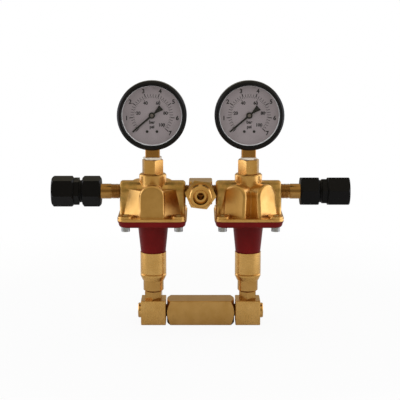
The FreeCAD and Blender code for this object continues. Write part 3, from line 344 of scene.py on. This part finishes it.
brassX = turnedBrass("turned_brass_x", "X")
brassY = turnedBrass("turned_brass_y", "Y")
brassZ = turnedBrass("turned_brass_z", "Z")
zinc = plainFinish("zinc_plate", (0.42, 0.42, 0.41), (0.20, 0.20, 0.19), 0.28, 500, 0.00002, 0.9)
springWire = plainFinish("spring_wire", (0.32, 0.32, 0.34), (0.12, 0.115, 0.11), 0.25, 900, metal=1.0)
darkSteel = blackSteel()
gaugeEnamel = blackEnamel()
finishes = {
    "regulator_body": castBrass(), "bonnet": redPaint(), "diaphragm": nitrile(),
    "diaphragm_plate": zinc, "spring_button": zinc, "range_spring": springWire,
    "valve_spring": springWire, "valve_seat": brassZ, "valve_poppet": brassZ,
    "spring_cap": turnedBrass("satin_brass", "Z", 0.22),
    "lower_adaptor": turnedBrass("adaptor_brass", "Z", 0.12, 0.42),
    "elbow_block": turnedBrass("milled_brass", "X", 0.22), "elbow_plugs": brassX,
    "cross_bar": turnedBrass("bar_brass", "X", 0.24, 0.22), "shuttle_piston": brassX,
    # the links' darkening is painted shade in the narrow gaps they sit in
    "link_nipples": turnedBrass("thread_brass", "X", 0.3, 0.75),
    "outlet_tee": brassX, "outlet_stud": brassY, "flange_screws": screwPlate(),
    # the inlet pipes' darkening is painted shade for their dark upper halves
    "inlet_nipple": turnedBrass("pipe_brass", "X", 0.14, 0.65),
    "inlet_inner_nut": darkSteel, "inlet_outer_nut": darkSteel, "union_body": darkSteel,
    "gauge_adaptor": brassZ, "gauge_washers": whiteTape(),
    "gauge_socket": turnedBrass("socket_brass", "Z", 0.22, 0.85),
    "gauge_case": gaugeEnamel, "gauge_bezel": gaugeEnamel, "gauge_lens": clearWindow(),
    "gauge_dial": dialSilver(), "movement_frame": brassY, "gauge_sector": brassY,
    "bourdon_tube": turnedBrass("drawn_bronze", "Y", 0.25, 0.15),
    "gauge_pointer": plainFinish("matt_black", (0.004, 0.004, 0.004), (0.012, 0.011, 0.011), 0.4, 1500),
    "print": plainFinish("print_ink", (0.010, 0.008, 0.010), (0.022, 0.018, 0.022), 0.45),
    # the pale ring's colour is a painted highlight at the window's inner edge
    "rim": plainFinish("rim_white", (0.94, 0.91, 0.91), (0.82, 0.79, 0.79), 0.4),
    "pin": plainFinish("pin_bronze", (0.20, 0.17, 0.15), (0.10, 0.08, 0.07), 0.35, 900, metal=0.6),
}


def dress(piece, finish):
    piece.data.materials.clear()
    piece.data.materials.append(finish)


for name, piece in nodes.items():
    dress(piece, finishes[name.replace("left_", "").replace("right_", "")])
print("finishes on every node")

# Where two things count as meeting, and how sharp an edge stays sharp
meshValues = {"touching": 1e-6, "level": 1e-5, "cut": 1e-7, "sharpAngle": math.radians(28)}


def asPiece(name, shape, finish, body):
    # one finished mesh at the origin, with its place in its vertices
    mesh = bpy.data.meshes.new(name)
    bmesh.ops.recalc_face_normals(shape, faces=shape.faces)
    for face in shape.faces:
        face.smooth = True
    for edge in shape.edges:
        edge.smooth = edge.calc_face_angle(0) < meshValues["sharpAngle"]
    shape.to_mesh(mesh)
    shape.free()
    piece = bpy.data.objects.new(name, mesh)
    bpy.context.scene.collection.objects.link(piece)
    dress(piece, finish)
    if body:
        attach(piece, body)
    return piece


def middleOf(name):
    low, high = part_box(name)
    return (low + high) / 2


def frontOf(name):
    low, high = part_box(name)
    return Vector(((low.x + high.x) / 2, low.y, (low.z + high.z) / 2))


def mergedCopy(name):
    # a CAD node's mesh is loose triangles, so its copy is joined up
    shape = bmesh.new()
    shape.from_mesh(nodes[name].data)
    bmesh.ops.remove_doubles(shape, verts=shape.verts, dist=meshValues["touching"])
    return shape


def addTube(shape, foot, along, bore, radius, length, steps=64):
    # a rectangle spun full round an axis
    out = along.orthogonal().normalized()
    rim = [shape.verts.new(foot + out * across + along * reach)
           for across, reach in ((bore, 0), (radius, 0), (radius, length), (bore, length))]
    border = [shape.edges.new((rim[i - 1], rim[i])) for i in range(4)]
    bmesh.ops.spin(shape, geom=rim + border, cent=foot, axis=along, angle=2 * math.pi, steps=steps,
                   use_merge=True)


# A ridge's section: its foot's depth, and where it rises and falls along one pitch
threadForm = {"sunk": 1.3, "crestStart": 0.36, "crestEnd": 0.5, "foot": 0.86, "stepsPerTurn": 40}


def addThread(shape, foot, along, radius, depth, pitch, length):
    # one ridge wound round a shank: its section is spun while it steps along
    out = along.orthogonal().normalized()
    root = radius - depth * threadForm["sunk"]
    section = [shape.verts.new(foot + out * across + along * reach * pitch)
               for across, reach in ((root, 0), (radius, threadForm["crestStart"]),
                                     (radius, threadForm["crestEnd"]), (root, threadForm["foot"]))]
    turns = length / pitch - 1
    steps = round(turns * threadForm["stepsPerTurn"])
    bmesh.ops.spin(shape, geom=[shape.faces.new(section)], cent=foot, axis=along,
                   dvec=along * turns * pitch / steps, angle=2 * math.pi * turns, steps=steps)


# Inlet pipes, threaded next to the body and plain where the nut grips them
pipeValues = {"screwedIn": 0.0087, "threadLength": 0.0086, "threadDepth": 0.0006, "pitch": 0.00134,
              "bore": 0.004, "runOut": 0.0005}


def makeInletPipe(side):
    values = pipeValues
    low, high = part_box(side + "_inlet_nipple")
    along = Vector((sides[side], 0, 0))
    radius = (high.z - low.z) / 2
    root = radius - values["threadDepth"]
    foot = Vector((high.x if side == "left" else low.x, 0, (low.z + high.z) / 2))
    threaded = values["screwedIn"] + values["threadLength"]

    def onRunOut(vertex):
        # on the edge where the plain length starts
        reach = (vertex.co - foot).dot(along) - threaded
        across = math.hypot(vertex.co.y, vertex.co.z - foot.z) - radius
        return abs(reach) < meshValues["touching"] and abs(across) < meshValues["touching"]

    shape = bmesh.new()
    addTube(shape, foot, along, values["bore"], root - values["threadDepth"], values["screwedIn"])
    threadFoot = foot + along * values["screwedIn"]
    addTube(shape, threadFoot, along, values["bore"], root, values["threadLength"])
    addThread(shape, threadFoot, along, radius, values["threadDepth"], values["pitch"],
              values["threadLength"])
    addTube(shape, foot + along * threaded, along, values["bore"], radius, high.x - low.x - threaded)
    ends = [edge for edge in shape.edges if all(onRunOut(vertex) for vertex in edge.verts)]
    bmesh.ops.bevel(shape, geom=ends, offset=values["runOut"], affect="EDGES", segments=2, profile=0.5,
                    material=-1)
    pipe = asPiece(side + "_inlet_pipe", shape, finishes["inlet_nipple"], "frame")
    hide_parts(side + "_inlet_nipple")


# Short threaded links between the blocks, the bar, the regulators and the tee
linkValues = {"radius": 0.00658, "threadDepth": 0.0007, "pitch": 0.00134, "bore": 0.0025,
              "hidden": 0.004}


def makeLinks():
    values = linkValues
    shape = bmesh.new()
    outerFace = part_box("right_inlet_nipple")[0].x + pipeValues["screwedIn"]
    innerFace = 2 * middleOf("right_regulator_body").x - outerFace
    gaps = [(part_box("cross_bar")[1].x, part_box("right_elbow_block")[0].x, middleOf("cross_bar").z),
            (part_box("outlet_tee")[1].x, innerFace, middleOf("outlet_tee").z)]
    for sign in (-1, 1):
        along = Vector((sign, 0, 0))
        for start, end, height in gaps:
            foot = Vector((sign * (start - values["hidden"]), 0, height))
            length = end - start + 2 * values["hidden"]
            addTube(shape, foot, along, values["bore"], values["radius"] - values["threadDepth"],
                    length)
            addThread(shape, foot, along, values["radius"], values["threadDepth"], values["pitch"],
                      length)
    links = asPiece("threaded_links", shape, finishes["link_nipples"], "frame")
    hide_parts("link_nipples")


# The thread that shows between the union and its inner nut
unionValues = {"radius": 0.01125, "threadDepth": 0.0003, "pitch": 0.0015, "neck": 0.0031}


def makeUnionThread(side):
    values = unionValues
    low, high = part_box(side + "_inlet_inner_nut")
    along = Vector((sides[side], 0, 0))
    shape = bmesh.new()
    foot = Vector((low.x if side == "left" else high.x, 0, (low.z + high.z) / 2))
    addThread(shape, foot, along, values["radius"], values["threadDepth"], values["pitch"],
              values["neck"])
    asPiece(side + "_union_thread", shape, finishes["union_body"], "frame")


# The outlet stud: its hexagon's turn, its wider bore and the thread behind its mouth
studValues = {"turn": math.radians(-13), "boreLimit": 0.0036, "boreGrowth": 0.18, "radius": 0.01105,
              "threadDepth": 0.0003, "pitch": 0.0018, "length": 0.0112, "mouthEdge": 0.0008}


def makeStud():
    # the hexagon stands as it was tightened, and the bore is opened out
    values = studValues
    axis = frontOf("outlet_stud")
    shape = mergedCopy("outlet_stud")
    turn = Matrix.Rotation(values["turn"], 3, "Y")
    bmesh.ops.rotate(shape, verts=shape.verts, cent=axis, matrix=turn)
    for vertex in shape.verts:
        across = (vertex.co - axis) * Vector((1, 0, 1))
        if across.length < values["boreLimit"]:
            vertex.co += across * values["boreGrowth"]
    stud = asPiece("turned_stud", shape, finishes["outlet_stud"], "frame")
    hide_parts("outlet_stud")


def makeStudThread():
    values = studValues
    shape = bmesh.new()
    foot = frontOf("outlet_stud") + Vector((0, values["mouthEdge"], 0))
    addThread(shape, foot, Vector((0, 1, 0)), values["radius"], values["threadDepth"], values["pitch"],
              values["length"])
    asPiece("outlet_thread", shape, finishes["outlet_stud"], "frame")


# White tape wound under each gauge, with an uneven outer edge
tapeValues = {"bore": 0.0066, "radius": 0.0081, "leftExtra": 0.0007, "steps": 96, "cuts": 3,
              "uneven": 0.0009, "ripple": 260, "roundedEdge": 0.6}


def makeTapes():
    values = tapeValues
    low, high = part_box("gauge_washers")
    shape = bmesh.new()
    for side in sides:
        radius = values["radius"] + (values["leftExtra"] if side == "left" else 0)
        foot = Vector((middleOf(side + "_gauge_adaptor").x, 0, low.z))
        before = set(shape.verts)
        addTube(shape, foot, Vector((0, 0, 1)), values["bore"], radius, high.z - low.z, values["steps"])

        def onRim(vertex):
            across = (vertex.co.xy - foot.xy).length - radius
            return vertex not in before and abs(across) < meshValues["touching"]

        rim = [edge for edge in shape.edges if all(onRim(vertex) for vertex in edge.verts)
               and abs(edge.verts[0].co.z - edge.verts[1].co.z) > meshValues["touching"]]
        bmesh.ops.subdivide_edges(shape, edges=rim, cuts=values["cuts"], use_grid_fill=True)
        for vertex in shape.verts:
            out = (vertex.co - foot) * Vector((1, 1, 0))
            if vertex not in before and out.length > (values["bore"] + radius) / 2:
                edgeShare = abs((vertex.co.z - low.z) / (high.z - low.z) - 0.5) * 2
                swell = noise.noise(vertex.co * values["ripple"])
                swell -= edgeShare ** 2 * values["roundedEdge"]
                vertex.co += out.normalized() * swell * values["uneven"]
    tapes = asPiece("seal_tapes", shape, finishes["gauge_washers"], "frame")
    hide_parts("gauge_washers")


# Red bonnets: a deep drafted flange, and a tower that ends where the brass cap starts
bonnetValues = {"drop": 0.0018, "draft": 0.965, "flange": 0.0047, "fillet": 0.0016,
                "chamber": 0.0162, "recess": 0.0011, "rim": 0.0305, "corner": 0.0405}
capValues = {"raise": 0.0025, "spigot": 0.0091, "grooveHeight": 0.0066, "grooveWidth": 0.0014,
             "grooveDepth": 0.0006}


def makeBonnet(side):
    values = bonnetValues
    low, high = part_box(side + "_bonnet")
    centre = (low + high) / 2
    under = high.z - values["flange"]
    shape = mergedCopy(side + "_bonnet")
    for vertex in shape.verts:
        across = vertex.co.xy - centre.xy
        if vertex.co.z < low.z + meshValues["level"]:
            vertex.co.z += capValues["raise"]
        outside = across.length > values["chamber"] or vertex.co.z < under + meshValues["level"]
        if outside and under - values["fillet"] < vertex.co.z < high.z - values["recess"]:
            vertex.co.z -= values["drop"]
            if max(abs(across.x), abs(across.y)) > values["rim"] or across.length > values["corner"]:
                vertex.co.xy = centre.xy + across * values["draft"]
    bonnet = asPiece(side + "_red_bonnet", shape, finishes["bonnet"], "frame")
    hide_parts(side + "_bonnet")


def makeSpringCap(side):
    # the cap reaches up to the red tower and has a turned groove above its foot
    values = capValues
    low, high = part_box(side + "_spring_cap")
    centre = (low + high) / 2
    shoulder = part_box(side + "_bonnet")[0].z
    groove = low.z + values["grooveHeight"]
    shape = mergedCopy(side + "_spring_cap")
    for step in (-1, 0, 1):
        bmesh.ops.bisect_plane(shape, geom=shape.verts[:] + shape.edges[:] + shape.faces[:],
                               plane_co=(0, 0, groove + step * values["grooveWidth"] / 2),
                               plane_no=(0, 0, 1), dist=meshValues["cut"])
    for vertex in shape.verts:
        across = vertex.co.xy - centre.xy
        if across.length > values["spigot"] and abs(vertex.co.z - shoulder) < meshValues["level"]:
            vertex.co.z += values["raise"]
        elif across.length > values["spigot"] and abs(vertex.co.z - groove) < meshValues["level"]:
            vertex.co.xy -= across.normalized() * values["grooveDepth"]
    cap = asPiece(side + "_brass_cap", shape, finishes["spring_cap"], "frame")
    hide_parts(side + "_spring_cap")


# Each spring and the end of it that stays as its valve closes and the spring shortens
springEnds = {"range_spring": "top", "valve_spring": "foot"}


def makeSpring(side, name):
    spring = asPiece(side + "_live_" + name, mergedCopy(side + "_" + name), finishes[name], None)
    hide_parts(side + "_" + name)
    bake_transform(spring)


makeLinks()
for side in sides:
    makeBonnet(side)
    makeSpringCap(side)
    for name in springEnds:
        makeSpring(side, name)
    makeInletPipe(side)
    makeUnionThread(side)
makeStud()
makeStudThread()
makeTapes()
print("bonnets, caps, springs, threads and tape made")

# The printed dial: a mark is its two radii and its width, a unit is its word and its height
dialValues = {"start": 225, "sweep": 270, "inkHeight": 0.00006, "boldness": 0.0002, "curveSteps": 3,
              "outerNumbers": 7, "outerMarks": 5, "outerNumberRadius": 0.0249,
              "outerNumberSize": 0.0058, "innerNumbers": 5, "innerStep": 20, "innerMarks": 10,
              "innerNumberRadius": 0.0134, "innerNumberSize": 0.0043,
              "longMark": (0.0186, 0.0222, 0.00085), "shortMark": (0.0186, 0.0208, 0.0005),
              "fineMark": (0.0172, 0.0186, 0.0004), "dot": (0.0157, 0.0165, 0.0008),
              "unitSize": 0.0042, "units": (("bar", -0.0067), ("psi", -0.0113))}


def dialAngle(share):
    return math.radians(dialValues["start"] - dialValues["sweep"] * share)


def addMark(shape, centre, angle, mark):
    inner, outer, width = mark
    height = dialValues["inkHeight"]
    turn = Matrix.Rotation(-angle, 4, "Y")
    place = Matrix.Translation(centre + turn @ Vector(((inner + outer) / 2, -height / 2, 0)))
    size = Matrix.Diagonal((outer - inner, height, width, 1))
    bmesh.ops.create_cube(shape, size=1, matrix=place @ turn @ size)


def addWords(shape, centre, words, size, across, up):
    # upright words centred on a point of the dial
    curve = bpy.data.curves.new("words", "FONT")
    curve.body = words
    curve.size = size
    curve.align_x = "CENTER"
    curve.align_y = "CENTER"
    curve.offset = dialValues["boldness"]
    curve.extrude = dialValues["inkHeight"] / 2
    curve.resolution_u = dialValues["curveSteps"]
    holder = bpy.data.objects.new("words", curve)
    mesh = bpy.data.meshes.new_from_object(holder)
    upright = Matrix.Rotation(math.pi / 2, 4, "X")
    mesh.transform(Matrix.Translation(centre + Vector((across, -curve.extrude, up))) @ upright)
    shape.from_mesh(mesh)
    bpy.data.objects.remove(holder)
    bpy.data.meshes.remove(mesh)


def addNumber(shape, centre, number, size, angle, radius):
    addWords(shape, centre, str(number), size, math.cos(angle) * radius, math.sin(angle) * radius)


def makeDialPrint(side):
    values = dialValues
    centre = frontOf(side + "_gauge_dial")
    shape = bmesh.new()
    outerSteps = values["outerNumbers"] * values["outerMarks"]
    for step in range(outerSteps + 1):
        mark = values["shortMark"] if step % values["outerMarks"] else values["longMark"]
        addMark(shape, centre, dialAngle(step / outerSteps), mark)
    innerSteps = values["innerNumbers"] * values["innerMarks"]
    for step in range(innerSteps + 1):
        addMark(shape, centre, dialAngle(step / innerSteps), values["fineMark"])
    for number in range(1, values["outerNumbers"] + 1):
        addNumber(shape, centre, number, values["outerNumberSize"],
                  dialAngle(number / values["outerNumbers"]), values["outerNumberRadius"])
    for number in range(1, values["innerNumbers"] + 1):
        angle = dialAngle(number / values["innerNumbers"])
        addMark(shape, centre, angle, values["dot"])
        addNumber(shape, centre, number * values["innerStep"], values["innerNumberSize"], angle,
                  values["innerNumberRadius"])
    for unit, up in values["units"]:
        addWords(shape, centre, unit, values["unitSize"], 0, up)
    asPiece(side + "_dial_print", shape, finishes["print"], "frame")


# Screws that hold the dial, the pointer's pin and the pale ring under the window, which is a painted
# highlight for the window's bright inner edge
trimValues = {"screwX": 0.0048, "screwZ": -0.0159, "screwRadius": 0.0014, "screwHeight": 0.0004,
              "pinRadius": 0.0017, "pinHeight": 0.0003, "headTaper": 0.85, "headSteps": 32,
              "sunkEdge": 0.35, "sunkDepth": 0.4, "ringBore": 0.0289, "ringRadius": 0.0312,
              "ringDepth": 0.002, "ringSteps": 128}


def addHead(shape, place, radius, height):
    # a low round head that faces the front, with a sunk middle
    values = trimValues
    forward = Matrix.Translation(place) @ Matrix.Rotation(math.pi / 2, 4, "X")
    made = bmesh.ops.create_cone(shape, cap_ends=True, segments=values["headSteps"], radius1=radius,
                                 radius2=radius * values["headTaper"], depth=height, matrix=forward)
    shape.normal_update()
    front = min({face for vertex in made["verts"] for face in vertex.link_faces},
                key=lambda face: face.calc_center_median().y)
    bmesh.ops.inset_individual(shape, faces=[front], thickness=radius * values["sunkEdge"],
                               depth=-height * values["sunkDepth"])


def makeGaugeTrim(side):
    values = trimValues
    centre = frontOf(side + "_gauge_dial")
    heads = bmesh.new()
    for across in (-values["screwX"], values["screwX"]):
        addHead(heads, centre + Vector((across, -values["screwHeight"] / 2, values["screwZ"])),
                values["screwRadius"], values["screwHeight"])
    asPiece(side + "_dial_screws", heads, finishes["gauge_pointer"], "frame")
    pin = bmesh.new()
    hub = Vector((centre.x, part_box(side + "_gauge_pointer")[0].y - values["pinHeight"] / 2, centre.z))
    addHead(pin, hub, values["pinRadius"], values["pinHeight"])
    asPiece(side + "_pointer_pin", pin, finishes["pin"], side + "_pointer")
    # a pale ring under the window: a painted highlight along its inner edge
    ring = bmesh.new()
    addTube(ring, centre, Vector((0, -1, 0)), values["ringBore"], values["ringRadius"],
            values["ringDepth"], values["ringSteps"])
    asPiece(side + "_window_ring", ring, finishes["rim"], "frame")


for side in sides:
    makeDialPrint(side)
    makeGaugeTrim(side)
print("dials printed")

# A pale floor that turns white away from the object, in metres from its middle
floorValues = {"size": 1.0, "colour": (0.56, 0.56, 0.555), "pale": (0.8, 0.8, 0.8), "noise": (3, 2),
               "noiseShare": 0.05, "roughness": 0.9, "fade": (0.24, 0.46), "glow": 0.92}


def makeFloor():
    values = floorValues
    shape = bmesh.new()
    bmesh.ops.create_grid(shape, x_segments=1, y_segments=1, size=values["size"] / 2)
    mesh = bpy.data.meshes.new("floor")
    shape.to_mesh(mesh)
    shape.free()
    floor = bpy.data.objects.new("floor", mesh)
    bpy.context.scene.collection.objects.link(floor)
    f = newFinish("floor_paper")
    colour = f.blend(f.noise(*values["noise"]) * values["noiseShare"], values["colour"], values["pale"])
    paper = f.node("BsdfPrincipled", {}, {"Base Color": colour, "Roughness": values["roughness"]})
    white = f.node("Emission", {}, {"Color": (1, 1, 1), "Strength": 1.0})
    away = f.node("VectorMath", {"operation": "LENGTH"}, {0: f.place()}, output="Value")
    glow = values["glow"] + f.ramp(away, *values["fade"]) * (1 - values["glow"])
    seen = f.node("LightPath", output="Is Camera Ray")
    f.close(f.node("MixShader", {}, {0: seen * glow, 1: paper, 2: white}))
    dress(floor, f.owner)


# White to the camera, and to shiny surfaces a dim room with a bright card on each side
worldValues = {"fill": 1.0, "front": 0.34, "frontLow": 0.7, "frontHigh": 0.28, "overhead": 0.7,
               "back": 0.38, "card": 2.2, "cardReach": 0.35, "lowRamp": (-0.02, -0.22),
               "highRamp": (0.04, 0.3), "overheadRamp": (0.3, 0.8), "backRamp": (-0.3, 0.4),
               "rightCardRamp": (0.8, 0.95), "leftCardRamp": (0.9, 0.985), "cardTopRamp": (0.75, 0.4),
               "warm": (1.0, 0.9, 0.68), "cool": (1.0, 1.02, 1.14)}


def makeWorld():
    values = worldValues
    world = bpy.data.worlds.new("studio")
    bpy.context.scene.world = world
    f = Finish(world)
    x, y, z = f.parts(f.node("TexCoord", output="Generated"))
    behind = f.ramp(y, *values["backRamp"])
    studio = values["front"] + f.ramp(z, *values["lowRamp"]) * (values["frontLow"] - values["front"])
    studio = studio + f.ramp(z, *values["highRamp"]) * (values["frontHigh"] - studio)
    studio = studio + behind * (values["back"] - studio)
    studio = studio + f.ramp(z, *values["overheadRamp"]) * (values["overhead"] - studio)
    reach = behind * values["cardReach"]
    cards = f.ramp(x + reach, *values["rightCardRamp"]) + f.ramp(reach - x, *values["leftCardRamp"])
    cards = cards * f.ramp(z, *values["cardTopRamp"])
    studio = studio + cards * (values["card"] - studio)
    shiny = f.node("LightPath", output="Is Glossy Ray")
    glass = f.node("LightPath", output="Is Transmission Ray")
    seen = f.node("LightPath", output="Is Camera Ray").larger(glass)
    level = values["fill"] + shiny * (studio - values["fill"])
    level = level + seen * (1 - level)
    tint = f.blend(cards, values["warm"], values["cool"])
    tone = f.blend(shiny * (1 - seen), (1, 1, 1), tint)
    light = f.node("Background", {}, {"Color": tone, "Strength": level})
    f.node("OutputWorld", {}, {"Surface": light})


# Soft lamps: place, target, size and watts
lampValues = {"left_softbox": ((-1.3, -0.8, 1.1), (0, 0, 0.12), (1.0, 1.2), 5.0),
              "right_softbox": ((1.3, -0.8, 1.0), (0, 0, 0.12), (1.0, 1.2), 4.0),
              "top_softbox": ((0, 0.3, 1.7), (0, 0, 0.1), (1.6, 1.2), 5.0)}


def facingFrom(place, target):
    return (Vector(target) - Vector(place)).to_track_quat("-Z", "Y").to_euler()


def makeLamp(name, place, target, size, power):
    lamp = bpy.data.lights.new(name, "AREA")
    lamp.shape = "RECTANGLE"
    lamp.size, lamp.size_y = size
    lamp.energy = power
    holder = bpy.data.objects.new(name, lamp)
    holder.location = place
    holder.rotation_euler = facingFrom(place, target)
    holder.visible_glossy = False
    bpy.context.scene.collection.objects.link(holder)


# The camera stands where the photograph was taken
cameraValues = {"place": (-0.0006, -1.176, 0.348), "target": (-0.0006, 0, 0.126), "lens": 108,
                "sensor": 36}


def makeCamera():
    values = cameraValues
    data = bpy.data.cameras.new("camera")
    data.lens = values["lens"]
    data.sensor_width = values["sensor"]
    camera = bpy.data.objects.new("camera", data)
    camera.location = values["place"]
    camera.rotation_euler = facingFrom(values["place"], values["target"])
    bpy.context.scene.collection.objects.link(camera)
    bpy.context.scene.camera = camera


makeFloor()
makeWorld()
for name, lamp in lampValues.items():
    makeLamp(name, *lamp)
makeCamera()
bpy.context.scene.view_settings.view_transform = "Standard"
print("studio lit and camera placed")
